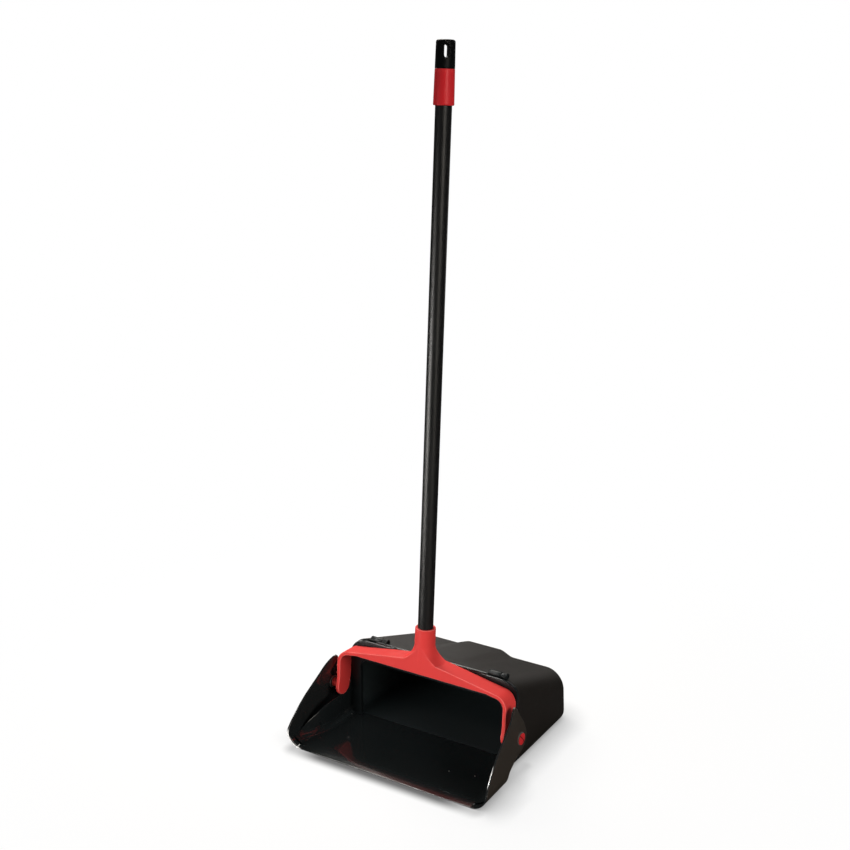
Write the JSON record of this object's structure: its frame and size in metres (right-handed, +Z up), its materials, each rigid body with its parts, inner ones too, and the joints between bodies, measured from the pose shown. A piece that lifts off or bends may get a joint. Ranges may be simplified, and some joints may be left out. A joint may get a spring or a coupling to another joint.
{
  "type": "lobby dustpan",
  "caption": "Upright lobby dustpan: glossy black open scoop with a hinged rear hood, a red yoke swinging between the cheeks and a long dark tube handle with a red grip and black hanger cap.",
  "frame": {"origin": "on the floor, under the middle of the pan's width and depth", "axes": "+X to the right seen from the open lip, +Y from the lip toward the rear hood, +Z up"},
  "size_m": [0.3326, 0.297, 0.9843],
  "materials": {
    "pan_black": "gloss inside, satin outside",
    "hood_black": "fine grained satin",
    "yoke_red": "semi-gloss",
    "pin_steel": "plain",
    "tube_dark": "satin powder coat",
    "tip_plastic": "plain",
    "grip_red": "satin",
    "cap_black": "satin"
  },
  "bodies": {
    "pan": {"front_pan": "pan_black"},
    "rear_hood": {"hood": "hood_black", "left_hinge_pin": "pin_steel", "right_hinge_pin": "pin_steel"},
    "handle": {"yoke": "yoke_red", "left_pivot_pin": "yoke_red", "right_pivot_pin": "yoke_red", "handle_tube": "tube_dark", "handle_tip": "tip_plastic", "grip_sleeve": "grip_red", "hanger_cap": "cap_black"}
  },
  "joints": [
    {"name": "handle_swing", "type": "hinge", "parent": "pan", "child": "handle", "pos_m": [0, -0.0445, 0.0586], "axis": [1, 0, 0], "range_deg": [0, 95]},
    {"name": "hood_lift", "type": "hinge", "parent": "pan", "child": "rear_hood", "pos_m": [0, -0.0143, 0.1286], "axis": [1, 0, 0], "range_deg": [0, 95]}
  ]
}
